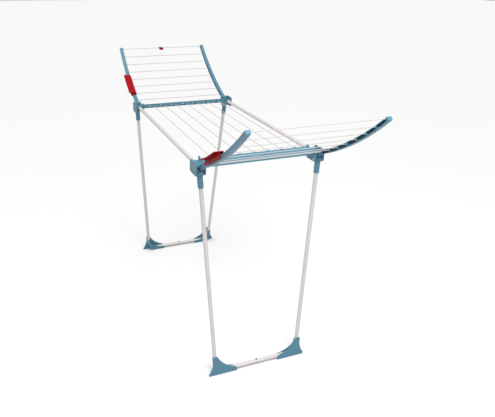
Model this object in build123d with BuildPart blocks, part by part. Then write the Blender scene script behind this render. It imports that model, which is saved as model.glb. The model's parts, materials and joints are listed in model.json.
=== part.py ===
from build123d import *
import math
import os

# Clothes drying rack with two folding wings and two folding leg frames. Millimetres, +Z up.
# +X is the front, +Y the right-hand side. The origin is on the floor under the middle of the rack.

# ---------------------------------------------------------------- driving dimensions
RAIL_HEIGHT = 1017.0        # side rail centre line above the floor
RAIL_SPACING = 560.0        # between the centre lines of the two side rails
RACK_HALF_LENGTH = 478.0    # middle of the rack to the near end of a corner bracket
TUBE_DIAMETER = 19.0        # side rails and leg tubes
TUBE_WALL = 1.0
PIN_DIAMETER = 6.0
PIN_HEAD_DIAMETER = 10.0
PIN_HEAD_THICKNESS = 1.6
RUNNING_CLEARANCE = 0.05    # radial, pin in a turning part
SIDE_CLEARANCE = 0.4        # between faces that pass each other

LINE_DIAMETER = 3.0
MAIN_LINE_COUNT = 7
MAIN_LINE_MARGIN = 76.0     # side rail centre line to the first main line
MAIN_LINE_RISE = 13.0       # main lines above the side rail centre line
CRIMP_DIAMETER = 4.2
CRIMP_LENGTH = 5.0
CRIMP_SETBACK = 0.5         # crimp behind the web that holds it

COVER_LENGTH = 79.0         # corner cover plate, along the side rail
COVER_TOP = 24.0            # above the side rail centre line
COVER_BOTTOM = 33.0         # below it
COVER_THICKNESS = 5.0
COVER_CORNER = 11.0
COVER_RIM = 6.0             # raised rim around its panel
COVER_PANEL_DEPTH = 0.8
COVER_BEVEL = 1.6
CHEEK_INNER_FACE = 20.5     # inner cheek's face, inboard of the rail centre line
CHEEK_THICKNESS = 4.0
BACK_CHEEK_THICKNESS = 3.0  # outer cheek, behind the cover plate
BACK_CHEEK_GAP = 1.3        # its inner face outboard of the leg sleeve
CHEEK_EYE_RADIUS = 16.0     # lower outer corner of the inner cheek, around the leg pivot
CHEEK_MARGIN = 2.0          # outer cheek stays this far inside the cover's outline
SOCKET_DEPTH = 27.0
SOCKET_ROOF = 3.0
SOCKET_FLOOR = 1.9
SOCKET_CLEARANCE = 0.05
BOSS_DIAMETER = 16.0
EAR_DIAMETER = 24.0         # eye of the inner cheek around the wing pivot
SEAT_LUG_LENGTH = 33.0      # upstanding lug at the near end of the inner cheek
SEAT_LUG_START = -8.0       # it starts this far ahead of the cover plate
SEAT_LUG_TOP = 28.0         # above the side rail centre line
DIP_TOP = 11.0              # inner cheek between the lug and the eye

LEG_PIVOT_INSET = 62.0      # leg pivot past the bracket's near end
LEG_HEAD_GAP = 0.6          # leg head below the floor of the rail socket
LEG_OFFSET = 2.0            # leg hinge centre outboard of the side rail centre line
LEG_SPLAY = 3.7             # degrees, each leg frame leans outwards
LEG_HEAD_DIAMETER = 26.0
LEG_HEAD_WIDTH = 25.0
LEG_SLEEVE_LENGTH = 63.0    # pivot to the lower rim of the sleeve
LEG_SLEEVE_START = 9.0      # pivot to its upper end
LEG_SLEEVE_WALL = 3.2
LEG_SLEEVE_BEVEL = 1.5
LEG_TUBE_START = 20.0       # pivot to the upper end of the tube
LEG_NOSE_WIDTH = 12.0
LEG_NOSE_REACH = 17.0       # stop nose above the pivot
LEG_NOSE_HALF = 4.6
FOOT_TRACK = 420.0          # between the two leg centre lines at the bottom bar
BAR_HEIGHT = 12.5           # bottom bar centre line above the floor
LEG_BEND_RADIUS = 48.0
SWAGE_LENGTH = 30.0         # overlap of the two halves of a leg frame in the middle of its bar
SWAGE_CLEARANCE = 0.05
RIVET_DIAMETER = 4.0
RIVET_HEAD_DIAMETER = 9.0
RIVET_HEAD_THICKNESS = 1.3

WING_PIVOT_INSET = 71.0     # wing pivot past the bracket's near end
WING_PIVOT_RISE = 13.0      # above the side rail centre line
ARM_DROP = 3.0              # arm centre line below the wing pivot
ARM_LENGTH = 501.0          # along the curve, pivot to tip
ARM_START_SLOPE = 22.2      # degrees
ARM_END_SLOPE = 43.8
ARM_INNER_OFFSET = -12.0    # inner face of an arm, from the rail centre line
ARM_WIDTH = 19.0
ARM_HALF_HEIGHT = 9.0
ARM_TIP_TOP = 6.0           # upper face above the centre line at the tip
ARM_TAPER_START = 270.0
ARM_WALL = 2.2
ARM_TIP_WALL = 4.0          # closed end of the arm's channel
ARM_KNUCKLE_RADIUS = 10.0
ARM_ROOT_LENGTH = 24.0      # solid stretch at the pivot
HEEL_LENGTH = 17.0          # stop heel under the knuckle
HEEL_DEPTH = 17.5
WING_LINE_COUNT = 8
FIRST_WING_LINE = 34.0      # along the arm
LAST_WING_LINE = 9.0        # back from the tip
WING_LINE_RISE = 1.7        # above the arm centre line
NOZZLE_REACH = 2.0          # line nozzles stand out of the arm
NOZZLE_LENGTH = 6.0         # along the arm
NOZZLE_HALF_HEIGHT = 4.0
BRIDGE_DEPTH = 6.0          # web between the arm's flanges at each line

RAIL_WEB_START = 4.0        # cross rail's inner face past the bracket's near end
RAIL_DEPTH = 53.0           # cross rail, across the rack's length
RAIL_TOP = 20.0             # its inner edge above the side rail centre line
RAIL_BOTTOM = -3.0
RAIL_LIP_TOP = 7.5
RAIL_LIP_BOTTOM = -3.0
RAIL_WALL = 2.5
RAIL_SHELF = 30.0           # shelf along the foot of the web
RAIL_GROOVE_OFFSET = 16.0   # shallow groove along the top face
RAIL_GROOVE_WIDTH = 2.0
RAIL_GROOVE_DEPTH = 1.0
RAIL_NOZZLE_REACH = 14.0
RAIL_NOZZLE_WIDTH = 8.0
RAIL_NOZZLE_HALF_HEIGHT = 4.6
RAIL_NOZZLE_CORNER = 1.2     # corners of the nozzles and windows
WINDOW_WIDTH = 15.0         # slot in the web beside each nozzle
WINDOW_HEIGHT = 8.0
WINDOW_GAP = 3.0
WINDOW_DROP = 6.0           # window centre below the line
TONGUE_LENGTH = 3.0
TONGUE_WIDTH = 36.0
TONGUE_HEIGHT = 5.0
TONGUE_CLEARANCE = 0.2

FOOT_HEIGHT = 95.0
FOOT_HALF_THICKNESS = 13.0
FOOT_WALL = 3.0
FOOT_TIP = 37.0             # outer tip, outboard of the bend's corner
FOOT_TIP_HEIGHT = 9.0
FOOT_OUTER_MIDDLE = (23.0, 35.5)    # point on the curved outer edge, from the bend's corner and the floor
FOOT_WAIST_HEIGHT = 62.5    # where the outer edge meets the leg
FOOT_WAIST_MARGIN = 3.3     # wall beside the tube there
FOOT_TOP_MARGIN = 2.0       # wall beside the tube at the top
FOOT_INNER_MIDDLE = (-42.0, 49.5)   # point on the curved inner edge
FOOT_TOE = 103.0            # inner end, inboard of the bend's corner
FOOT_TOE_LENGTH = 8.0       # sloping end of the toe
FOOT_TOE_RISE = 22.5
FOOT_TOE_HEIGHT = 12.0
FOOT_STEP = 8.0             # the rack-side wall and the sole start this far inboard of it
FOOT_STEP_HEIGHT = 8.0
FOOT_PEAK = (-14.0, 48.0)   # inner corner of the rack-side wall, where its strap starts
FOOT_BACK_MIDDLE = (-50.0, 26.5)    # point on its curved edge
FOOT_BACK_RISE = 17.0       # its height where the toe starts to slope
FOOT_STRAP_DROP = 12.0      # top of the strap over the leg, below the top of the foot
FOOT_STRAP_FOOT = 28.0      # the strap's outer edge starts at this height
FOOT_STRAP_SLANT = 20.0     # its top is this much lower on the inner side
FOOT_STRAP_HALF = 9.0       # the strap reaches this far either side of the leg's centre line
FOOT_RING_DROP = 22.0       # half ring around the leg, below the top of the foot
FOOT_RING_HEIGHT = 8.0
FOOT_SADDLE_RISE = 6.0      # saddles beside the bar, above the sole
FOOT_SADDLE_WIDTH = 4.0
FOOT_CLEARANCE = 0.1

HOLDER_START = 82.0         # along the arm
HOLDER_LENGTH = 170.0
HOLDER_THICKNESS = 3.0
HOLDER_TOP = 24.5           # top face above the arm's centre line
HOLDER_HEIGHT = 24.5
HOLDER_REACH = 24.0         # its top, outboard of the arm
HOLDER_LOW_REACH = 10.0     # its trough, outboard of the arm
HOLDER_SHOULDER = 3.0       # its upper inner wall, outboard of the arm's inner face
HOLDER_INNER_REACH = 4.0    # its hook, inboard of the arm
HOLDER_INNER_DROP = 2.7     # the hook's tip, below the ledge on the arm
HOLDER_LIP = 5.0            # outer lip below its top plate
HOLDER_LOW_LIP = 9.0        # outer lip up from its bottom
HOLDER_GAP = 0.3

CLIP_OFFSET = -11.0         # centre of the wing clip from the middle of the line
CLIP_LENGTH = 27.0
CLIP_RADIUS = 4.2
CLIP_PLATE = 3.0
CLIP_UP = 5.0               # plate above and below the line
CLIP_DOWN = 13.0
CLIP_HOOK = 6.0
CLIP_SLANT = 4.0            # upper edge to one side, lower edge to the other

# ---------------------------------------------------------------- derived places
RAIL_Y = RAIL_SPACING / 2
TUBE_RADIUS = TUBE_DIAMETER / 2
PIN_RADIUS = PIN_DIAMETER / 2
LINE_RADIUS = LINE_DIAMETER / 2
BOSS_RADIUS = BOSS_DIAMETER / 2
NEAR_X = RACK_HALF_LENGTH
FAR_X = RACK_HALF_LENGTH + COVER_LENGTH
COVER_MIDDLE_X = (NEAR_X + FAR_X) / 2
COVER_MIDDLE_Z = RAIL_HEIGHT + (COVER_TOP - COVER_BOTTOM) / 2
COVER_HEIGHT = COVER_TOP + COVER_BOTTOM

CHEEK_Y = RAIL_Y - CHEEK_INNER_FACE
CHEEK_BACK_Y = CHEEK_Y + CHEEK_THICKNESS
BACK_CHEEK_Y = RAIL_Y + LEG_OFFSET + TUBE_RADIUS + LEG_SLEEVE_WALL + BACK_CHEEK_GAP
COVER_Y = BACK_CHEEK_Y + BACK_CHEEK_THICKNESS
ARM_Y = RAIL_Y + ARM_INNER_OFFSET
ARM_OUTER_Y = ARM_Y + ARM_WIDTH

LEG_PIVOT_X = NEAR_X + LEG_PIVOT_INSET
SOCKET_FLOOR_Z = RAIL_HEIGHT - TUBE_RADIUS - SOCKET_FLOOR
LEG_PIVOT_Z = SOCKET_FLOOR_Z - LEG_HEAD_DIAMETER / 2 - LEG_HEAD_GAP
LEG_PIVOT_Y = RAIL_Y + LEG_OFFSET
WING_PIVOT_X = NEAR_X + WING_PIVOT_INSET
WING_PIVOT_Z = RAIL_HEIGHT + WING_PIVOT_RISE
SOCKET_END_X = NEAR_X + SOCKET_DEPTH
SOCKET_ROOF_Z = RAIL_HEIGHT + TUBE_RADIUS + SOCKET_ROOF
HEEL_X = WING_PIVOT_X - ARM_KNUCKLE_RADIUS
HEEL_Z = WING_PIVOT_Z - HEEL_DEPTH

LINE_Z = RAIL_HEIGHT + MAIN_LINE_RISE
LINE_PITCH = (RAIL_SPACING - 2 * MAIN_LINE_MARGIN) / (MAIN_LINE_COUNT - 1)
LINE_YS = [-RAIL_Y + MAIN_LINE_MARGIN + LINE_PITCH * i for i in range(MAIN_LINE_COUNT)]
WEB_X = NEAR_X + RAIL_WEB_START
LIP_X = WEB_X + RAIL_DEPTH
WEB_BACK_X = WEB_X + RAIL_WALL
RAIL_SLOPE = (RAIL_TOP - RAIL_LIP_TOP) / RAIL_DEPTH
RAIL_SHEET_DROP = RAIL_WALL * math.hypot(1, RAIL_SLOPE)
LINE_END_X = WEB_BACK_X + CRIMP_SETBACK + CRIMP_LENGTH

ARM_RADIUS = ARM_LENGTH / math.radians(ARM_END_SLOPE - ARM_START_SLOPE)
ARM_START_Z = WING_PIVOT_Z - ARM_DROP
WING_LINE_PITCH = (ARM_LENGTH - FIRST_WING_LINE - LAST_WING_LINE) / (WING_LINE_COUNT - 1)
WING_LINE_STATIONS = [FIRST_WING_LINE + WING_LINE_PITCH * i for i in range(WING_LINE_COUNT)]
WING_LINE_END_Y = ARM_Y + BRIDGE_DEPTH + CRIMP_LENGTH
HOLDER_END = HOLDER_START + HOLDER_LENGTH
HOLDER_BOTTOM = HOLDER_TOP - HOLDER_HEIGHT
HOLDER_LEDGE = ARM_HALF_HEIGHT + HOLDER_GAP
HOLDER_WALL_Y = ARM_OUTER_Y + HOLDER_GAP
HOLDER_OUTER_Y = ARM_OUTER_Y + HOLDER_REACH
HOLDER_HOOK_Y = ARM_Y - HOLDER_INNER_REACH
HOLDER_SHOULDER_Y = ARM_Y + HOLDER_SHOULDER
HOLDER_LOW_Y = ARM_OUTER_Y + HOLDER_LOW_REACH

# Plane of the front leg frame, seen from the front: X across the rack, Y up the legs,
# with its origin midway between the two leg pivots.
SPLAY = math.radians(LEG_SPLAY)
LEG_PLANE = Plane(
    origin=(LEG_PIVOT_X, 0, LEG_PIVOT_Z), x_dir=(0, 1, 0), z_dir=(math.cos(SPLAY), 0, math.sin(SPLAY))
)
BAR_DROP = (LEG_PIVOT_Z - BAR_HEIGHT) / math.cos(SPLAY)
FLOOR_DROP = LEG_PIVOT_Z / math.cos(SPLAY)
HALF_TRACK = FOOT_TRACK / 2
LEG_LEAN = (LEG_PIVOT_Y - HALF_TRACK) / BAR_DROP
JOINT_Y = -SWAGE_LENGTH / 2
SPIGOT_RADIUS = TUBE_RADIUS - TUBE_WALL - SWAGE_CLEARANCE

CORNERS = {
    "front_right": [],
    "front_left": [Plane.XZ],
    "rear_right": [Plane.YZ],
    "rear_left": [Plane.XZ, Plane.YZ],
}
SIDES = {"right": [], "left": [Plane.XZ]}
ENDS = {"front": [], "rear": [Plane.YZ]}


# ---------------------------------------------------------------- helpers
def save(piece, name):
    """Label a finished piece and write it."""
    piece.part.label = name
    export_step(piece.part, f"parts/{name}.step")


def save_mirrored(piece, name, planes):
    """Write a piece mirrored about each plane in turn."""
    with BuildPart() as twin:
        add(piece.part)
        for plane in planes:
            mirror(about=plane, mode=Mode.REPLACE)
    save(twin, name)


def save_at_corners(piece, name):
    """Write a front right piece at all four corners."""
    for corner, planes in CORNERS.items():
        save_mirrored(piece, f"{name}_{corner}", planes)


def upright(y):
    """Plane across the rack at y, drawn with X to the right and Z up; extrude by minus a width to go to +Y."""
    return Plane.XZ.offset(-y)


def arm_point(station, rise):
    """Point of a front arm in X and Z, at a station along its centre line and a rise above it."""
    start = math.radians(ARM_START_SLOPE)
    angle = start + station / ARM_RADIUS
    reach = ARM_RADIUS - rise
    x = WING_PIVOT_X - ARM_RADIUS * math.sin(start) + reach * math.sin(angle)
    z = ARM_START_Z + ARM_RADIUS * math.cos(start) - reach * math.cos(angle)
    return (x, z)


def arm_band(start, end, low, high):
    """Draw, in the open sketch, the stretch of an arm between two stations and two rises."""
    middle = (start + end) / 2
    with BuildLine() as outline:
        below = ThreePointArc(arm_point(start, low), arm_point(middle, low), arm_point(end, low))
        above = ThreePointArc(arm_point(start, high), arm_point(middle, high), arm_point(end, high))
        Line(below @ 0, above @ 0)
        Line(below @ 1, above @ 1)
    make_face(outline.edges())


def arm_top(station):
    """Rise of an arm's upper face at a station: level, then lower towards the tip."""
    share = max(0.0, (station - ARM_TAPER_START) / (ARM_LENGTH - ARM_TAPER_START))
    return ARM_HALF_HEIGHT + (ARM_TIP_TOP - ARM_HALF_HEIGHT) * share


def arm_outline(start, end, inset):
    """Draw, in the open sketch, an arm's side view between two stations, inset from its faces."""
    low = inset - ARM_HALF_HEIGHT
    taper_middle = (ARM_TAPER_START + end) / 2
    with BuildLine() as outline:
        below = ThreePointArc(
            arm_point(start, low), arm_point((start + end) / 2, low), arm_point(end, low)
        )
        level = ThreePointArc(
            arm_point(start, -low),
            arm_point((start + ARM_TAPER_START) / 2, -low),
            arm_point(ARM_TAPER_START, -low),
        )
        taper = ThreePointArc(
            level @ 1,
            arm_point(taper_middle, arm_top(taper_middle) - inset),
            arm_point(end, arm_top(end) - inset),
        )
        Line(below @ 0, level @ 0)
        Line(below @ 1, taper @ 1)
    make_face(outline.edges())


os.makedirs("parts", exist_ok=True)

# ---------------------------------------------------------------- side rails
with BuildPart() as side_rail:
    with BuildSketch(Plane.YZ.offset(-SOCKET_END_X)):
        with Locations((RAIL_Y, RAIL_HEIGHT)):
            Circle(TUBE_RADIUS)
            Circle(TUBE_RADIUS - TUBE_WALL, mode=Mode.SUBTRACT)
    extrude(amount=2 * SOCKET_END_X)
for side, planes in SIDES.items():
    save_mirrored(side_rail, f"side_rail_{side}", planes)

# ---------------------------------------------------------------- corner brackets
with BuildPart() as bracket:
    # inner cheek: plate, seat lug at the near end and eye around the wing pivot
    with BuildSketch(upright(CHEEK_Y)) as inner_cheek:
        plate_top = RAIL_HEIGHT + DIP_TOP
        plate_bottom = RAIL_HEIGHT - COVER_BOTTOM
        with Locations((COVER_MIDDLE_X, (plate_top + plate_bottom) / 2)):
            Rectangle(COVER_LENGTH, plate_top - plate_bottom)
        fillet(inner_cheek.vertices().sort_by(Axis.Y)[:2].sort_by(Axis.X)[-1], CHEEK_EYE_RADIUS)
        fillet(inner_cheek.vertices().sort_by(Axis.X)[:2].sort_by(Axis.Y)[0], COVER_CORNER)
        fillet(inner_cheek.vertices().sort_by(Axis.Y)[-2:].sort_by(Axis.X)[-1], COVER_CORNER)
        with Locations((WING_PIVOT_X, WING_PIVOT_Z)):
            Circle(EAR_DIAMETER / 2)
        lug_start = NEAR_X + SEAT_LUG_START
        with BuildLine():
            Polyline(
                (lug_start, RAIL_HEIGHT - DIP_TOP),
                (lug_start, RAIL_HEIGHT + SEAT_LUG_TOP),
                (lug_start + SEAT_LUG_LENGTH / 2, RAIL_HEIGHT + SEAT_LUG_TOP),
                (lug_start + SEAT_LUG_LENGTH, RAIL_HEIGHT + DIP_TOP),
                (lug_start + SEAT_LUG_LENGTH, RAIL_HEIGHT - DIP_TOP),
                close=True,
            )
        make_face()
    extrude(amount=-CHEEK_THICKNESS)
    # outer cheek, which carries the cover plate
    with BuildSketch(upright(BACK_CHEEK_Y)):
        with Locations((COVER_MIDDLE_X, COVER_MIDDLE_Z)):
            RectangleRounded(
                COVER_LENGTH - 2 * CHEEK_MARGIN, COVER_HEIGHT - 2 * CHEEK_MARGIN, COVER_CORNER - CHEEK_MARGIN
            )
    extrude(amount=-BACK_CHEEK_THICKNESS)
    # body between the cheeks: rail socket, then the core that stops the arm heel and the leg nose
    core_x = HEEL_X - SIDE_CLEARANCE
    nose_x = LEG_PIVOT_X - LEG_NOSE_HALF - SIDE_CLEARANCE
    with BuildSketch(upright(CHEEK_BACK_Y)):
        with BuildLine():
            Polyline(
                (NEAR_X, SOCKET_FLOOR_Z),
                (nose_x, SOCKET_FLOOR_Z),
                (nose_x, SOCKET_FLOOR_Z + SOCKET_ROOF * 1.5),
                (core_x, HEEL_Z),
                (core_x, WING_PIVOT_Z - ARM_HALF_HEIGHT),
                (SOCKET_END_X, SOCKET_ROOF_Z - 1.0),
                (SOCKET_END_X, SOCKET_ROOF_Z),
                (NEAR_X, SOCKET_ROOF_Z),
                close=True,
            )
        make_face()
    extrude(amount=-(BACK_CHEEK_Y - CHEEK_BACK_Y))
    # bosses that centre the arm and the leg head between the cheeks
    with BuildSketch(upright(CHEEK_BACK_Y)):
        with Locations((WING_PIVOT_X, WING_PIVOT_Z)):
            Circle(BOSS_RADIUS)
    extrude(amount=-(ARM_Y - SIDE_CLEARANCE - CHEEK_BACK_Y))
    with BuildSketch(upright(ARM_OUTER_Y + SIDE_CLEARANCE)):
        with Locations((WING_PIVOT_X, WING_PIVOT_Z)):
            Circle(BOSS_RADIUS)
    extrude(amount=-(BACK_CHEEK_Y - ARM_OUTER_Y - SIDE_CLEARANCE))
    with BuildSketch(upright(CHEEK_BACK_Y)):
        with Locations((LEG_PIVOT_X, LEG_PIVOT_Z)):
            Circle(BOSS_RADIUS / 2 + PIN_RADIUS)
    extrude(amount=-(LEG_PIVOT_Y - LEG_HEAD_WIDTH / 2 - SIDE_CLEARANCE - CHEEK_BACK_Y))
    # rail socket
    with BuildSketch(Plane.YZ.offset(NEAR_X)):
        with Locations((RAIL_Y, RAIL_HEIGHT)):
            Circle(TUBE_RADIUS + SOCKET_CLEARANCE)
    extrude(amount=SOCKET_DEPTH, mode=Mode.SUBTRACT)
    # pin holes through both cheeks
    with BuildSketch(upright(CHEEK_Y)):
        with Locations((WING_PIVOT_X, WING_PIVOT_Z), (LEG_PIVOT_X, LEG_PIVOT_Z)):
            Circle(PIN_RADIUS)
    extrude(amount=-(COVER_Y - CHEEK_Y), mode=Mode.SUBTRACT)
    # slot for the cross rail's tongue
    with BuildSketch(upright(CHEEK_Y)):
        with Locations((WEB_X + RAIL_DEPTH / 2, RAIL_HEIGHT + RAIL_LIP_TOP / 2)):
            Rectangle(TONGUE_WIDTH + 2 * TONGUE_CLEARANCE, TONGUE_HEIGHT + 2 * TONGUE_CLEARANCE)
    extrude(amount=-(TONGUE_LENGTH + TONGUE_CLEARANCE), mode=Mode.SUBTRACT)
save_at_corners(bracket, "corner_bracket")

# ---------------------------------------------------------------- corner cover plates
with BuildPart() as cover:
    with BuildSketch(upright(COVER_Y)):
        with Locations((COVER_MIDDLE_X, COVER_MIDDLE_Z)):
            RectangleRounded(COVER_LENGTH, COVER_HEIGHT, COVER_CORNER)
    extrude(amount=-COVER_THICKNESS)
    chamfer(cover.faces().sort_by(Axis.Y)[-1].edges(), COVER_BEVEL)
    with BuildSketch(upright(COVER_Y + COVER_THICKNESS - COVER_PANEL_DEPTH)):
        with Locations((COVER_MIDDLE_X, COVER_MIDDLE_Z)):
            RectangleRounded(
                COVER_LENGTH - 2 * COVER_RIM, COVER_HEIGHT - 2 * COVER_RIM, COVER_CORNER - COVER_RIM
            )
    extrude(amount=-COVER_PANEL_DEPTH, mode=Mode.SUBTRACT)
save_at_corners(cover, "corner_cover")


# ---------------------------------------------------------------- pivot pins
def pin_group(x, z):
    """The four headed pins on one pair of hinge axes, one in each corner."""
    with BuildPart() as pins:
        with BuildSketch(upright(CHEEK_Y)):
            with Locations((x, z)):
                Circle(PIN_RADIUS)
        extrude(amount=-(COVER_Y - CHEEK_Y))
        with BuildSketch(upright(CHEEK_Y)):
            with Locations((x, z)):
                Circle(PIN_HEAD_DIAMETER / 2)
        extrude(amount=PIN_HEAD_THICKNESS)
        chamfer(pins.edges().filter_by(GeomType.CIRCLE).sort_by(Axis.Y)[0], PIN_HEAD_THICKNESS / 2)
        mirror(about=Plane.XZ)
        mirror(about=Plane.YZ)
    return pins


save(pin_group(LEG_PIVOT_X, LEG_PIVOT_Z), "leg_pivot_pins")
save(pin_group(WING_PIVOT_X, WING_PIVOT_Z), "wing_pivot_pins")

# ---------------------------------------------------------------- cross rails
def rail_inside(operation):
    """Draw, in the open sketch, the space between a cross rail's web, top face and lip."""
    with BuildLine() as outline:
        Polyline(
            (WEB_BACK_X, RAIL_HEIGHT + RAIL_BOTTOM),
            (WEB_BACK_X, RAIL_HEIGHT + RAIL_TOP - RAIL_SLOPE * RAIL_WALL - RAIL_SHEET_DROP),
            (LIP_X - RAIL_WALL, RAIL_HEIGHT + RAIL_LIP_TOP + RAIL_SLOPE * RAIL_WALL - RAIL_SHEET_DROP),
            (LIP_X - RAIL_WALL, RAIL_HEIGHT + RAIL_LIP_BOTTOM),
            close=True,
        )
    make_face(outline.edges(), mode=operation)


with BuildPart() as cross_rail:
    # tall inner web, top face sloping down to a low outer lip
    with BuildSketch(upright(-CHEEK_Y)):
        with BuildLine():
            Polyline(
                (WEB_X, RAIL_HEIGHT + RAIL_BOTTOM),
                (WEB_X, RAIL_HEIGHT + RAIL_TOP),
                (LIP_X, RAIL_HEIGHT + RAIL_LIP_TOP),
                (LIP_X, RAIL_HEIGHT + RAIL_LIP_BOTTOM),
                close=True,
            )
        make_face()
        rail_inside(Mode.SUBTRACT)
    extrude(amount=-2 * CHEEK_Y)
    # a closed end at each bracket and a rib beside each line
    ribs = [y - RAIL_NOZZLE_WIDTH / 2 - RAIL_WALL for y in LINE_YS]
    for y in [-CHEEK_Y, *ribs, CHEEK_Y - RAIL_WALL]:
        with BuildSketch(upright(y)):
            rail_inside(Mode.ADD)
        extrude(amount=-RAIL_WALL)
    # shelf along the foot of the web
    with BuildSketch(upright(-CHEEK_Y)):
        with Locations((WEB_X, RAIL_HEIGHT + RAIL_BOTTOM)):
            Rectangle(RAIL_SHELF, RAIL_WALL, align=(Align.MIN, Align.MIN))
    extrude(amount=-2 * CHEEK_Y)
    # line nozzles, each with a window in the web beside it
    with BuildSketch(Plane.YZ.offset(WEB_X - RAIL_NOZZLE_REACH)):
        for y in LINE_YS:
            with Locations((y, LINE_Z)):
                RectangleRounded(RAIL_NOZZLE_WIDTH, 2 * RAIL_NOZZLE_HALF_HEIGHT, RAIL_NOZZLE_CORNER)
    extrude(amount=RAIL_NOZZLE_REACH)
    with BuildSketch(Plane.YZ.offset(WEB_X)):
        for y in LINE_YS:
            window_y = y + RAIL_NOZZLE_WIDTH / 2 + WINDOW_GAP + WINDOW_WIDTH / 2
            with Locations((window_y, LINE_Z - WINDOW_DROP)):
                RectangleRounded(WINDOW_WIDTH, WINDOW_HEIGHT, RAIL_NOZZLE_CORNER)
    extrude(amount=RAIL_WALL, mode=Mode.SUBTRACT)
    with BuildSketch(Plane.YZ.offset(WEB_X - RAIL_NOZZLE_REACH)):
        for y in LINE_YS:
            with Locations((y, LINE_Z)):
                Circle(LINE_RADIUS + RUNNING_CLEARANCE)
    extrude(amount=RAIL_NOZZLE_REACH + RAIL_WALL, mode=Mode.SUBTRACT)
    # groove along the top face
    with BuildSketch(upright(-CHEEK_Y)):
        with Locations((WEB_X + RAIL_GROOVE_OFFSET, RAIL_HEIGHT + RAIL_TOP - RAIL_SLOPE * RAIL_GROOVE_OFFSET)):
            Rectangle(RAIL_GROOVE_WIDTH, 2 * RAIL_GROOVE_DEPTH)
    extrude(amount=-2 * CHEEK_Y, mode=Mode.SUBTRACT)
    # tongues that sit in the brackets
    for y in (-CHEEK_Y - TONGUE_LENGTH, CHEEK_Y):
        with BuildSketch(upright(y)):
            with Locations((WEB_X + RAIL_DEPTH / 2, RAIL_HEIGHT + RAIL_LIP_TOP / 2)):
                Rectangle(TONGUE_WIDTH, TONGUE_HEIGHT)
        extrude(amount=-TONGUE_LENGTH)
save(cross_rail, "cross_rail_front")
save_mirrored(cross_rail, "cross_rail_rear", [Plane.XZ, Plane.YZ])

# ---------------------------------------------------------------- main lines
with BuildPart() as main_lines:
    with BuildSketch(Plane.YZ.offset(-LINE_END_X)):
        for y in LINE_YS:
            with Locations((y, LINE_Z)):
                Circle(LINE_RADIUS)
    extrude(amount=2 * LINE_END_X)
save(main_lines, "main_lines")

with BuildPart() as main_crimps:
    with BuildSketch(Plane.YZ.offset(WEB_BACK_X + CRIMP_SETBACK)):
        for y in LINE_YS:
            with Locations((y, LINE_Z)):
                Circle(CRIMP_DIAMETER / 2)
                Circle(LINE_RADIUS, mode=Mode.SUBTRACT)
    extrude(amount=CRIMP_LENGTH)
    mirror(about=Plane.YZ)
save(main_crimps, "main_line_crimps")

# ---------------------------------------------------------------- wing arms
with BuildPart() as arm:
    with BuildSketch(upright(ARM_Y)):
        arm_outline(0, ARM_LENGTH, 0)
        with Locations((WING_PIVOT_X, WING_PIVOT_Z)):
            Circle(ARM_KNUCKLE_RADIUS)
        with BuildLine():
            Polyline(
                (HEEL_X, WING_PIVOT_Z),
                (HEEL_X, HEEL_Z),
                (HEEL_X + HEEL_LENGTH, HEEL_Z),
                arm_point(ARM_ROOT_LENGTH, -ARM_HALF_HEIGHT),
                arm_point(ARM_ROOT_LENGTH, 0),
                close=True,
            )
        make_face()
    extrude(amount=-ARM_WIDTH)
    # channel, open on the inner side
    with BuildSketch(upright(ARM_Y)):
        arm_outline(ARM_ROOT_LENGTH, ARM_LENGTH - ARM_TIP_WALL, ARM_WALL)
    extrude(amount=-(ARM_WIDTH - ARM_WALL), mode=Mode.SUBTRACT)
    # a bridge and a nozzle at each line
    for station in WING_LINE_STATIONS:
        fore = station - NOZZLE_LENGTH / 2
        aft = station + NOZZLE_LENGTH / 2
        with BuildSketch(upright(ARM_Y)):
            arm_band(fore, aft, ARM_WALL / 2 - ARM_HALF_HEIGHT, arm_top(aft) - ARM_WALL / 2)
        extrude(amount=-BRIDGE_DEPTH)
        with BuildSketch(upright(ARM_Y - NOZZLE_REACH)):
            arm_band(fore, aft, WING_LINE_RISE - NOZZLE_HALF_HEIGHT, WING_LINE_RISE + NOZZLE_HALF_HEIGHT)
        extrude(amount=-(NOZZLE_REACH + BRIDGE_DEPTH))
    with BuildSketch(upright(ARM_Y - NOZZLE_REACH)):
        for station in WING_LINE_STATIONS:
            with Locations(arm_point(station, WING_LINE_RISE)):
                Circle(LINE_RADIUS + RUNNING_CLEARANCE)
    extrude(amount=-(NOZZLE_REACH + BRIDGE_DEPTH), mode=Mode.SUBTRACT)
    # pivot hole
    with BuildSketch(upright(ARM_Y)):
        with Locations((WING_PIVOT_X, WING_PIVOT_Z)):
            Circle(PIN_RADIUS + RUNNING_CLEARANCE)
    extrude(amount=-ARM_WIDTH, mode=Mode.SUBTRACT)

# ---------------------------------------------------------------- wing lines
with BuildPart() as wing_lines:
    with BuildSketch(upright(-WING_LINE_END_Y)):
        for station in WING_LINE_STATIONS:
            with Locations(arm_point(station, WING_LINE_RISE)):
                Circle(LINE_RADIUS)
    extrude(amount=-2 * WING_LINE_END_Y)

with BuildPart() as wing_crimps:
    with BuildSketch(upright(ARM_Y + BRIDGE_DEPTH)):
        for station in WING_LINE_STATIONS:
            with Locations(arm_point(station, WING_LINE_RISE)):
                Circle(CRIMP_DIAMETER / 2)
                Circle(LINE_RADIUS, mode=Mode.SUBTRACT)
    extrude(amount=-CRIMP_LENGTH)
    mirror(about=Plane.XZ)

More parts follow.
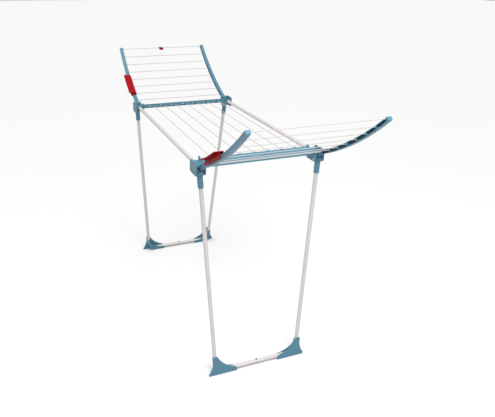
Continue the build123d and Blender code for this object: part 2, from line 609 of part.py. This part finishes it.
# ---------------------------------------------------------------- small-items holders
# Each wall is low, high, inner face and outer face: rises above the arm's centre line, then places in Y.
HOLDER_WALLS = [
    (HOLDER_TOP - HOLDER_THICKNESS, HOLDER_TOP, HOLDER_SHOULDER_Y, HOLDER_OUTER_Y),
    (HOLDER_LEDGE, HOLDER_TOP, HOLDER_SHOULDER_Y, HOLDER_SHOULDER_Y + HOLDER_THICKNESS),
    (HOLDER_LEDGE - HOLDER_INNER_DROP, HOLDER_LEDGE + HOLDER_THICKNESS, HOLDER_HOOK_Y, ARM_Y - HOLDER_GAP),
    (HOLDER_LEDGE, HOLDER_LEDGE + HOLDER_THICKNESS, HOLDER_HOOK_Y, HOLDER_WALL_Y + HOLDER_THICKNESS),
    (HOLDER_BOTTOM, HOLDER_TOP, HOLDER_WALL_Y, HOLDER_WALL_Y + HOLDER_THICKNESS),
    (HOLDER_BOTTOM, HOLDER_BOTTOM + HOLDER_THICKNESS, HOLDER_WALL_Y, HOLDER_LOW_Y),
    (HOLDER_TOP - HOLDER_LIP, HOLDER_TOP, HOLDER_OUTER_Y - HOLDER_THICKNESS, HOLDER_OUTER_Y),
    (HOLDER_BOTTOM, HOLDER_BOTTOM + HOLDER_LOW_LIP, HOLDER_LOW_Y - HOLDER_THICKNESS, HOLDER_LOW_Y),
]
with BuildPart() as holder:
    for low, high, inner_y, outer_y in HOLDER_WALLS:
        with BuildSketch(upright(inner_y)):
            arm_band(HOLDER_START, HOLDER_END, low, high)
        extrude(amount=-(outer_y - inner_y))

for end, end_planes in ENDS.items():
    for side, side_planes in SIDES.items():
        save_mirrored(arm, f"{end}_wing_arm_{side}", end_planes + side_planes)
    save_mirrored(wing_lines, f"{end}_wing_lines", end_planes)
    save_mirrored(wing_crimps, f"{end}_wing_crimps", end_planes)
    save_mirrored(holder, f"{end}_wing_holder", end_planes + SIDES["left"])

# ---------------------------------------------------------------- snap clip on the rear wing's last line
# Drawn on the front wing's last line and mirrored to the rear.
with BuildPart() as clip:
    line_x, line_z = arm_point(WING_LINE_STATIONS[-1], WING_LINE_RISE)
    plate_x = line_x - CLIP_RADIUS
    with BuildSketch(upright(CLIP_OFFSET - CLIP_LENGTH / 2 - CLIP_SLANT)):
        with Locations((line_x, line_z)):
            Circle(CLIP_RADIUS)
        with Locations((plate_x, line_z - CLIP_DOWN)):
            Rectangle(CLIP_PLATE, CLIP_UP + CLIP_DOWN, align=(Align.MIN, Align.MIN))
            Rectangle(CLIP_HOOK, CLIP_PLATE, align=(Align.MIN, Align.MIN))
        with Locations((line_x, line_z)):
            Circle(LINE_RADIUS + RUNNING_CLEARANCE, mode=Mode.SUBTRACT)
    extrude(amount=-(CLIP_LENGTH + 2 * CLIP_SLANT))
    # slanted ends
    with BuildSketch(Plane.YZ.offset(plate_x)):
        with BuildLine():
            Polyline(
                (CLIP_OFFSET - CLIP_LENGTH / 2 - CLIP_SLANT, line_z + CLIP_UP),
                (CLIP_OFFSET + CLIP_LENGTH / 2 - CLIP_SLANT, line_z + CLIP_UP),
                (CLIP_OFFSET + CLIP_LENGTH / 2 + CLIP_SLANT, line_z - CLIP_DOWN),
                (CLIP_OFFSET - CLIP_LENGTH / 2 + CLIP_SLANT, line_z - CLIP_DOWN),
                close=True,
            )
        make_face()
    extrude(amount=2 * CLIP_RADIUS, mode=Mode.INTERSECT)
save_mirrored(clip, "rear_wing_clip", ENDS["rear"])


# ---------------------------------------------------------------- leg frames
def leg_point(distance):
    """Point on the right leg's centre line, in the leg plane, at a distance below the pivot."""
    down = distance / math.hypot(1, LEG_LEAN)
    return (LEG_PIVOT_Y - LEG_LEAN * down, -down)


def across_leg(distance):
    """Plane square to the right leg at a distance below the pivot, facing down the leg."""
    start = LEG_PLANE.from_local_coords((*leg_point(distance), 0))
    end = LEG_PLANE.from_local_coords((*leg_point(distance + BAR_DROP), 0))
    return Plane(origin=start, z_dir=end - start)


def bar_plane(y, direction):
    """Plane square to the bottom bar at y, facing right for direction 1 and left for -1."""
    return Plane(origin=LEG_PLANE.from_local_coords((y, -BAR_DROP, 0)), z_dir=(0, direction, 0))


def leg_sweep(end_y, radii, operation):
    """Sweep a bar or tube down the right leg, round its bend and along the bottom bar to end_y."""
    with BuildLine(LEG_PLANE) as path:
        FilletPolyline(
            leg_point(LEG_TUBE_START), (HALF_TRACK, -BAR_DROP), (end_y, -BAR_DROP), radius=LEG_BEND_RADIUS
        )
    with BuildSketch(across_leg(LEG_TUBE_START)) as section:
        Circle(radii[0])
        for bore in radii[1:]:
            Circle(bore, mode=Mode.SUBTRACT)
    sweep(section.sketch, path=path.wire(), mode=operation)


BAR_MIDDLE = Plane(
    origin=LEG_PLANE.from_local_coords((0, -BAR_DROP, 0)), x_dir=LEG_PLANE.x_dir, z_dir=LEG_PLANE.y_dir
)
TUBE_RADII = (TUBE_RADIUS, TUBE_RADIUS - TUBE_WALL)


def drill_for_rivet():
    """Drill the bottom bar for its rivet, from above."""
    with BuildSketch(BAR_MIDDLE) as hole:
        Circle(RIVET_DIAMETER / 2 + RUNNING_CLEARANCE)
    extrude(hole.sketch, amount=TUBE_DIAMETER, both=True, mode=Mode.SUBTRACT)


with BuildPart() as leg_tube_right:
    leg_sweep(JOINT_Y, TUBE_RADII, Mode.ADD)
    drill_for_rivet()

with BuildPart() as leg_tube_left:
    leg_sweep(-JOINT_Y, TUBE_RADII, Mode.ADD)
    mirror(about=Plane.XZ, mode=Mode.REPLACE)
    # swaged end that plugs into the right-hand tube, and its shoulder
    with BuildSketch(bar_plane(JOINT_Y - TUBE_WALL, 1)):
        Circle(SPIGOT_RADIUS)
        Circle(SPIGOT_RADIUS - TUBE_WALL, mode=Mode.SUBTRACT)
    extrude(amount=SWAGE_LENGTH + TUBE_WALL)
    with BuildSketch(bar_plane(JOINT_Y, -1)):
        Circle(TUBE_RADIUS)
        Circle(SPIGOT_RADIUS - TUBE_WALL, mode=Mode.SUBTRACT)
    extrude(amount=TUBE_WALL)
    drill_for_rivet()

with BuildPart() as bar_rivet:
    with BuildSketch(BAR_MIDDLE):
        Circle(RIVET_DIAMETER / 2)
    extrude(amount=TUBE_RADIUS, both=True)
    for direction in (1, -1):
        with BuildSketch(BAR_MIDDLE.offset(direction * TUBE_RADIUS)):
            Circle(RIVET_HEAD_DIAMETER / 2)
        extrude(amount=direction * RIVET_HEAD_THICKNESS)

with BuildPart() as leg_hinge:
    # head between the bracket's cheeks, with the nose that stops the leg
    with BuildSketch(upright(LEG_PIVOT_Y - LEG_HEAD_WIDTH / 2)):
        with Locations((LEG_PIVOT_X, LEG_PIVOT_Z)):
            Circle(LEG_HEAD_DIAMETER / 2)
    extrude(amount=-LEG_HEAD_WIDTH)
    with BuildSketch(upright(LEG_PIVOT_Y - LEG_NOSE_WIDTH / 2)):
        with Locations((LEG_PIVOT_X, LEG_PIVOT_Z)):
            Rectangle(2 * LEG_NOSE_HALF, LEG_NOSE_REACH, align=(Align.CENTER, Align.MIN))
    extrude(amount=-LEG_NOSE_WIDTH)
    # sleeve around the leg tube
    with BuildSketch(across_leg(LEG_SLEEVE_START)):
        Circle(TUBE_RADIUS + LEG_SLEEVE_WALL)
    extrude(amount=LEG_SLEEVE_LENGTH - LEG_SLEEVE_START)
    chamfer(leg_hinge.faces().sort_by(Axis.Z)[0].edges(), LEG_SLEEVE_BEVEL)
    with BuildSketch(across_leg(LEG_TUBE_START)):
        Circle(TUBE_RADIUS + SOCKET_CLEARANCE)
    extrude(amount=LEG_SLEEVE_LENGTH, mode=Mode.SUBTRACT)
    with BuildSketch(upright(LEG_PIVOT_Y - LEG_HEAD_WIDTH / 2)):
        with Locations((LEG_PIVOT_X, LEG_PIVOT_Z)):
            Circle(PIN_RADIUS + RUNNING_CLEARANCE)
    extrude(amount=-LEG_HEAD_WIDTH, mode=Mode.SUBTRACT)


# ---------------------------------------------------------------- feet
def foot_point(across, height):
    """Point in the leg plane, from the corner of the right-hand bend and the floor."""
    return (HALF_TRACK + across, height - FLOOR_DROP)


def beside_leg(height, margin):
    """Distance from the corner of the bend to a wall's edge beside the leg tube, at a height."""
    return LEG_LEAN * (height - BAR_HEIGHT) + math.copysign(TUBE_RADIUS + abs(margin), margin)


def foot_front_wall():
    """Draw the tall outer wall: from the tip up to the leg, over it and down to the toe."""
    with BuildLine() as outline:
        outer = ThreePointArc(
            foot_point(FOOT_TIP, FOOT_TIP_HEIGHT),
            foot_point(*FOOT_OUTER_MIDDLE),
            foot_point(beside_leg(FOOT_WAIST_HEIGHT, FOOT_WAIST_MARGIN), FOOT_WAIST_HEIGHT),
        )
        inner = ThreePointArc(
            foot_point(beside_leg(FOOT_HEIGHT, -FOOT_TOP_MARGIN), FOOT_HEIGHT),
            foot_point(*FOOT_INNER_MIDDLE),
            foot_point(FOOT_TOE_LENGTH - FOOT_TOE, FOOT_TOE_RISE),
        )
        Polyline(outer @ 1, foot_point(beside_leg(FOOT_HEIGHT, FOOT_TOP_MARGIN), FOOT_HEIGHT), inner @ 0)
        Polyline(
            inner @ 1,
            foot_point(-FOOT_TOE, FOOT_TOE_HEIGHT),
            foot_point(-FOOT_TOE, -FOOT_WALL),
            foot_point(FOOT_TIP, -FOOT_WALL),
            outer @ 0,
        )
    make_face(outline.edges())


def foot_back_wall():
    """Draw the lower wall on the rack's side, with a strap up over the leg."""
    strap_top = FOOT_HEIGHT - FOOT_STRAP_DROP
    lean = LEG_LEAN * (strap_top - BAR_HEIGHT)
    with BuildLine() as outline:
        curve = ThreePointArc(
            foot_point(*FOOT_PEAK),
            foot_point(*FOOT_BACK_MIDDLE),
            foot_point(FOOT_TOE_LENGTH - FOOT_TOE, FOOT_BACK_RISE),
        )
        Polyline(
            curve @ 1,
            foot_point(-FOOT_TOE, FOOT_TOE_HEIGHT),
            foot_point(-FOOT_TOE, -FOOT_WALL),
            foot_point(-FOOT_STEP, -FOOT_WALL),
            foot_point(-FOOT_STEP, FOOT_STEP_HEIGHT),
            foot_point(FOOT_STRAP_HALF, FOOT_STRAP_FOOT),
            foot_point(FOOT_STRAP_HALF + lean, strap_top),
            foot_point(lean - FOOT_STRAP_HALF, strap_top - FOOT_STRAP_SLANT),
            curve @ 0,
        )
    make_face(outline.edges())


with BuildPart() as foot:
    with BuildSketch(LEG_PLANE.offset(FOOT_HALF_THICKNESS - FOOT_WALL)):
        foot_front_wall()
    extrude(amount=FOOT_WALL)
    with BuildSketch(LEG_PLANE.offset(-FOOT_HALF_THICKNESS)):
        foot_back_wall()
    extrude(amount=FOOT_WALL)
    with BuildSketch(LEG_PLANE.offset(-FOOT_HALF_THICKNESS)):
        # sole under the bar, and saddles beside it
        sole_height = BAR_HEIGHT - TUBE_RADIUS - FOOT_CLEARANCE
        with Locations(foot_point(-FOOT_TOE, -FOOT_WALL)):
            Rectangle(FOOT_TOE - FOOT_STEP, sole_height + FOOT_WALL, align=(Align.MIN, Align.MIN))
        for across in (-FOOT_TOE, -(FOOT_TOE + FOOT_STEP) / 2, -FOOT_STEP - FOOT_SADDLE_WIDTH):
            with Locations(foot_point(across, 0)):
                Rectangle(FOOT_SADDLE_WIDTH, sole_height + FOOT_SADDLE_RISE, align=(Align.MIN, Align.MIN))
    extrude(amount=2 * FOOT_HALF_THICKNESS - FOOT_WALL)
    # strap's side walls and half ring around the leg
    ring_height = FOOT_HEIGHT - FOOT_RING_DROP
    ring_across = LEG_LEAN * (ring_height - BAR_HEIGHT)
    with BuildSketch(LEG_PLANE.offset(-FOOT_HALF_THICKNESS)):
        with Locations(foot_point(ring_across, ring_height)):
            Rectangle(2 * FOOT_STRAP_HALF, FOOT_RING_HEIGHT)
    extrude(amount=FOOT_HALF_THICKNESS)
    with BuildSketch(LEG_PLANE):
        with Locations(foot_point(ring_across, ring_height)):
            Rectangle(TUBE_DIAMETER + 2 * FOOT_TOP_MARGIN, FOOT_RING_HEIGHT)
    extrude(amount=FOOT_HALF_THICKNESS - FOOT_WALL)
    leg_sweep(0, (TUBE_RADIUS + FOOT_CLEARANCE,), Mode.SUBTRACT)
    split(bisect_by=Plane.XY, keep=Keep.TOP)

for end, end_planes in ENDS.items():
    save_mirrored(leg_tube_right, f"{end}_leg_tube_right", end_planes)
    save_mirrored(leg_tube_left, f"{end}_leg_tube_left", end_planes)
    save_mirrored(bar_rivet, f"{end}_leg_rivet", end_planes)
    for side, side_planes in SIDES.items():
        save_mirrored(leg_hinge, f"{end}_leg_hinge_{side}", end_planes + side_planes)
        save_mirrored(foot, f"{end}_foot_{side}", end_planes + side_planes)
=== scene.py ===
import json
import math

import bpy
from mathutils import Matrix, Vector

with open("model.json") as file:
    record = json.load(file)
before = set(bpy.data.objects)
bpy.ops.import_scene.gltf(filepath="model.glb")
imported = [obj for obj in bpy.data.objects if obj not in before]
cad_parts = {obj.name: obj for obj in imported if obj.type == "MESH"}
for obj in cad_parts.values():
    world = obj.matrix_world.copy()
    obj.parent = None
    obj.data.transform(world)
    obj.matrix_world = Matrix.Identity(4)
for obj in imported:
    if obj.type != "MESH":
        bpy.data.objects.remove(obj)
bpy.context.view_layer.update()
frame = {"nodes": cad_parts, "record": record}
nodes = frame["nodes"]

# sizes in metres, colours linear
WELD_DISTANCE = 0.00002
EDGE_WIDTH = 0.0006         # small rounded edges of the mouldings
EDGE_SEGMENTS = 2
EDGE_ANGLE = 35             # degrees; gentler corners stay as they are
FLOOR_HALF = 30.0
FLOOR_ALBEDO = 0.62
WORLD_STRENGTH = 0.54
SUN_TOWARDS = (-0.15, 0.25, -1.0)
SUN_SPREAD = 1.1            # radians
SUN_POWER = 3.2
SOFTBOX_PLACE = (2.1, 0.1, 2.3)
SOFTBOX_TARGET = (0.7, 0.0, 1.0)
SOFTBOX_SIZE = 0.9
SOFTBOX_POWER = 36.0


# ---------------------------------------------------------------- materials
def new_material(name, roughness, specular=0.5):
    """Material with one Principled shader, and that shader."""
    material = bpy.data.materials.new(name)
    material.use_nodes = True
    shader = material.node_tree.nodes["Principled BSDF"]
    shader.inputs["Roughness"].default_value = roughness
    shader.inputs["Specular IOR Level"].default_value = specular
    return material, shader


def add_noise(tree, scale, detail, roughness=0.5):
    """Noise fixed to the object, scale in waves a metre."""
    place = tree.nodes.new("ShaderNodeTexCoord")
    noise = tree.nodes.new("ShaderNodeTexNoise")
    noise.inputs["Scale"].default_value = scale
    noise.inputs["Detail"].default_value = detail
    noise.inputs["Roughness"].default_value = roughness
    tree.links.new(place.outputs["Object"], noise.inputs["Vector"])
    return noise


def add_ramp(tree, source, stops):
    """Colour ramp from a value, with stops of position and colour."""
    ramp = tree.nodes.new("ShaderNodeValToRGB")
    while len(ramp.color_ramp.elements) < len(stops):
        ramp.color_ramp.elements.new(0.5)
    for element, (position, colour) in zip(ramp.color_ramp.elements, stops):
        element.position = position
        element.color = (*colour, 1.0)
    tree.links.new(source, ramp.inputs["Fac"])
    return ramp


def add_bump(tree, shader, source, distance, strength):
    """Relief on a shader from a height value."""
    bump = tree.nodes.new("ShaderNodeBump")
    bump.inputs["Distance"].default_value = distance
    bump.inputs["Strength"].default_value = strength
    tree.links.new(source, bump.inputs["Height"])
    tree.links.new(bump.outputs["Normal"], shader.inputs["Normal"])


def shade(colour, factor):
    """Colour made lighter or darker by a factor."""
    return tuple(min(1.0, channel * factor) for channel in colour)


def moulded_plastic(name, colour, roughness, spread, specular=0.35):
    """Moulded plastic: faint cloudy flow in the colour, fine spark texture, rubbed patches in the gloss."""
    material, shader = new_material(name, roughness, specular)
    tree = material.node_tree
    clouds = add_noise(tree, scale=9.0, detail=4.0)
    flow = add_ramp(tree, clouds.outputs["Fac"], [
        (0.30, shade(colour, 1.0 - spread)),
        (0.55, colour),
        (0.78, shade(colour, 1.0 + spread)),
    ])
    tree.links.new(flow.outputs["Color"], shader.inputs["Base Color"])
    rubbed = add_noise(tree, scale=35.0, detail=3.0)
    gloss = add_ramp(tree, rubbed.outputs["Fac"], [
        (0.35, (roughness - 0.08,) * 3),
        (0.70, (roughness + 0.10,) * 3),
    ])
    tree.links.new(gloss.outputs["Color"], shader.inputs["Roughness"])
    spark = add_noise(tree, scale=1400.0, detail=2.0, roughness=0.6)
    add_bump(tree, shader, spark.outputs["Fac"], distance=0.0002, strength=0.25)
    return material


def powder_coat(name, colour):
    """Powder coat on steel tube: slight orange peel, warm and cool drift, a few dull marks."""
    material, shader = new_material(name, 0.38)
    tree = material.node_tree
    drift = add_noise(tree, scale=3.0, detail=3.0)
    tint = add_ramp(tree, drift.outputs["Fac"], [
        (0.30, shade(colour, 0.95)),
        (0.60, colour),
        (0.85, shade(colour, 1.03)),
    ])
    tree.links.new(tint.outputs["Color"], shader.inputs["Base Color"])
    marks = add_noise(tree, scale=60.0, detail=4.0, roughness=0.7)
    gloss = add_ramp(tree, marks.outputs["Fac"], [(0.40, (0.32,) * 3), (0.75, (0.50,) * 3)])
    tree.links.new(gloss.outputs["Color"], shader.inputs["Roughness"])
    peel = add_noise(tree, scale=420.0, detail=1.0)
    add_bump(tree, shader, peel.outputs["Fac"], distance=0.0003, strength=0.18)
    return material


def coated_line(name, colour):
    """Smooth plastic coating drawn over wire, with faint rings and a few scuffs from pegs."""
    material, shader = new_material(name, 0.42)
    tree = material.node_tree
    scuffs = add_noise(tree, scale=45.0, detail=4.0, roughness=0.65)
    tint = add_ramp(tree, scuffs.outputs["Fac"], [
        (0.25, shade(colour, 0.90)),
        (0.45, colour),
        (0.90, shade(colour, 1.03)),
    ])
    tree.links.new(tint.outputs["Color"], shader.inputs["Base Color"])
    fine = add_noise(tree, scale=900.0, detail=2.0)
    add_bump(tree, shader, fine.outputs["Fac"], distance=0.0002, strength=0.2)
    return material


def zinc(name, colour):
    """Bright zinc on rivets and pins: crystal mottling and fine scratches."""
    material, shader = new_material(name, 0.35)
    shader.inputs["Metallic"].default_value = 1.0
    tree = material.node_tree
    mottle = add_noise(tree, scale=500.0, detail=3.0)
    tint = add_ramp(tree, mottle.outputs["Fac"], [(0.3, shade(colour, 0.8)), (0.7, colour)])
    tree.links.new(tint.outputs["Color"], shader.inputs["Base Color"])
    scratch = add_noise(tree, scale=1800.0, detail=2.0)
    add_bump(tree, shader, scratch.outputs["Fac"], distance=0.0001, strength=0.3)
    return material


FINISHES = {
    "coated_tube": powder_coat("powder_coat", (0.46, 0.437, 0.430)),
    "blue_moulding": moulded_plastic("blue_plastic", (0.053, 0.160, 0.224), 0.40, 0.06, specular=0.45),
    "line_coating": coated_line("line_coating", (0.37, 0.345, 0.33)),
    "steel_pin": zinc("zinc", (0.62, 0.62, 0.61)),
    "dark_rivet": zinc("dark_plating", (0.06, 0.055, 0.06)),
    "red_moulding": moulded_plastic("red_plastic", (0.25, 0.001, 0.004), 0.50, 0.05, specular=0.08),
}
MOULDED = ("blue_moulding", "red_moulding")


def soften_edges(part):
    """Round a moulding's sharp edges slightly, as the mould leaves them."""
    weld = part.modifiers.new("weld", "WELD")
    weld.merge_threshold = WELD_DISTANCE
    bevel = part.modifiers.new("edges", "BEVEL")
    bevel.width = EDGE_WIDTH
    bevel.segments = EDGE_SEGMENTS
    bevel.limit_method = "ANGLE"
    bevel.angle_limit = math.radians(EDGE_ANGLE)
    part.modifiers.new("normals", "WEIGHTED_NORMAL")


for entry in frame["record"]["subparts"]:
    part = nodes[entry["node"]]
    part.data.materials.clear()
    part.data.materials.append(FINISHES[entry["material_slot"]])
    if entry["material_slot"] in MOULDED:
        soften_edges(part)


# ---------------------------------------------------------------- floor and light
def make_floor():
    """Plain pale floor, far wider than the rack."""
    mesh = bpy.data.meshes.new("floor")
    corners = [(-FLOOR_HALF, -FLOOR_HALF, 0), (FLOOR_HALF, -FLOOR_HALF, 0)]
    corners += [(FLOOR_HALF, FLOOR_HALF, 0), (-FLOOR_HALF, FLOOR_HALF, 0)]
    mesh.from_pydata(corners, [], [(0, 1, 2, 3)])
    floor = bpy.data.objects.new("floor", mesh)
    bpy.context.collection.objects.link(floor)
    material, shader = new_material("floor_paper", 0.9, specular=0.0)
    shader.inputs["Base Color"].default_value = (FLOOR_ALBEDO, FLOOR_ALBEDO, FLOOR_ALBEDO, 1.0)
    mesh.materials.append(material)


def sun_light(name, towards, spread, power):
    """Soft light from far away, shining towards a direction."""
    light = bpy.data.lights.new(name, "SUN")
    light.angle = spread
    light.energy = power
    lamp = bpy.data.objects.new(name, light)
    lamp.rotation_euler = Vector(towards).to_track_quat("-Z", "Y").to_euler()
    bpy.context.collection.objects.link(lamp)


def softbox(name, place, target, size, power):
    """Square lamp at a place, aimed at a target."""
    light = bpy.data.lights.new(name, "AREA")
    light.size = size
    light.energy = power
    lamp = bpy.data.objects.new(name, light)
    lamp.location = place
    lamp.rotation_euler = (Vector(target) - Vector(place)).to_track_quat("-Z", "Y").to_euler()
    bpy.context.collection.objects.link(lamp)


make_floor()
world = bpy.data.worlds.new("studio")
world.use_nodes = True
world.node_tree.nodes["Background"].inputs["Color"].default_value = (1.0, 1.0, 1.0, 1.0)
world.node_tree.nodes["Background"].inputs["Strength"].default_value = WORLD_STRENGTH
bpy.context.scene.world = world
bpy.context.scene.view_settings.view_transform = "Standard"
sun_light("overhead", SUN_TOWARDS, SUN_SPREAD, SUN_POWER)
softbox("front_softbox", SOFTBOX_PLACE, SOFTBOX_TARGET, SOFTBOX_SIZE, SOFTBOX_POWER)

# ---------------------------------------------------------------- camera
# angles in radians, lens and sensor in millimetres
EYE = Vector((2.418, -0.982, 1.790))
YAW = 2.797
PITCH = 0.334
ROLL = 0.011
LENS = 37.90
SENSOR = 36.0
SHIFT_X = 0.1082
SHIFT_Y = -0.1179
forward = Vector((math.cos(YAW) * math.cos(PITCH), math.sin(YAW) * math.cos(PITCH), -math.sin(PITCH)))
right = forward.cross(Vector((0, 0, 1))).normalized()
up = right.cross(forward)
side = math.cos(ROLL) * right + math.sin(ROLL) * up
rise = -math.sin(ROLL) * right + math.cos(ROLL) * up
camera_data = bpy.data.cameras.new("camera")
camera_data.lens = LENS
camera_data.sensor_width = SENSOR
camera_data.shift_x = SHIFT_X
camera_data.shift_y = SHIFT_Y
camera = bpy.data.objects.new("camera", camera_data)
camera.matrix_world = Matrix(
    (
        (side.x, rise.x, -forward.x, EYE.x),
        (side.y, rise.y, -forward.y, EYE.y),
        (side.z, rise.z, -forward.z, EYE.z),
        (0, 0, 0, 1),
    )
)
bpy.context.collection.objects.link(camera)
bpy.context.scene.camera = camera
